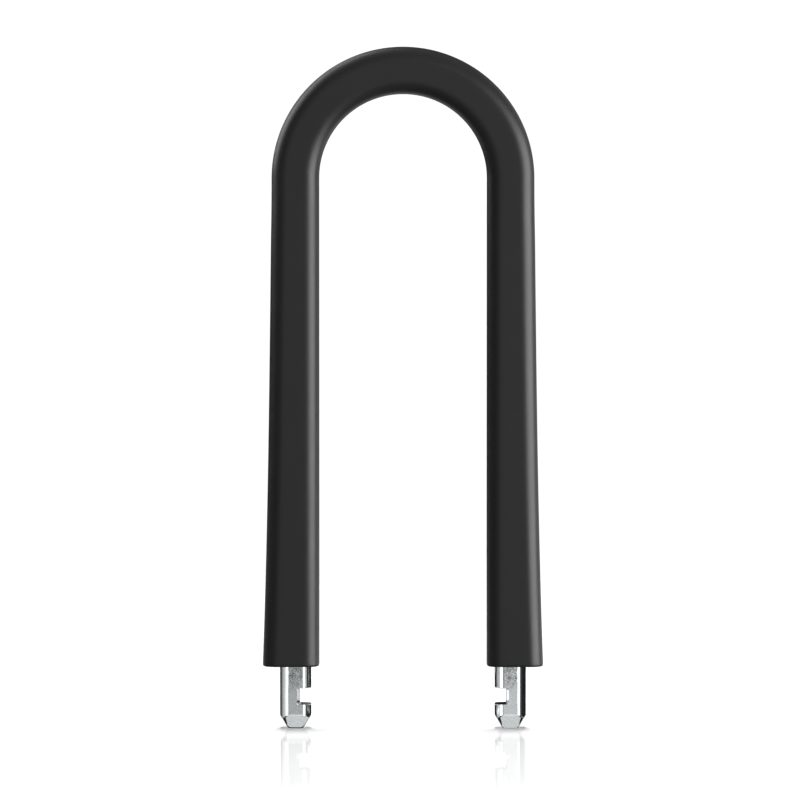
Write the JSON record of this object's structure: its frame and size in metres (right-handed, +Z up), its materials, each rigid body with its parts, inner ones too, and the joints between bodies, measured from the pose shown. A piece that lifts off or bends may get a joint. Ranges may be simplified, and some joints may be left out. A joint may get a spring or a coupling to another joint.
{
  "type": "u-lock shackle",
  "caption": "U-shaped bicycle lock shackle: a square hardened steel bar under a soft black cover, with bare bevelled ends notched on the inward side for the lock's bolts.",
  "frame": {"origin": "midway between the two leg tips, in the plane that the tips stand on, which is the bottom centre of the bounding box", "axes": "+X across the two legs towards the right leg, +Y from front to back, +Z up from the tips to the bend"},
  "size_m": [0.1172, 0.0198, 0.2849],
  "materials": {
    "bright_plated_steel": "polished",
    "soft_touch_black": "matte"
  },
  "bodies": {
    "root": {"shackle_bar": "bright_plated_steel", "protective_sleeve": "soft_touch_black"}
  },
  "joints": []
}
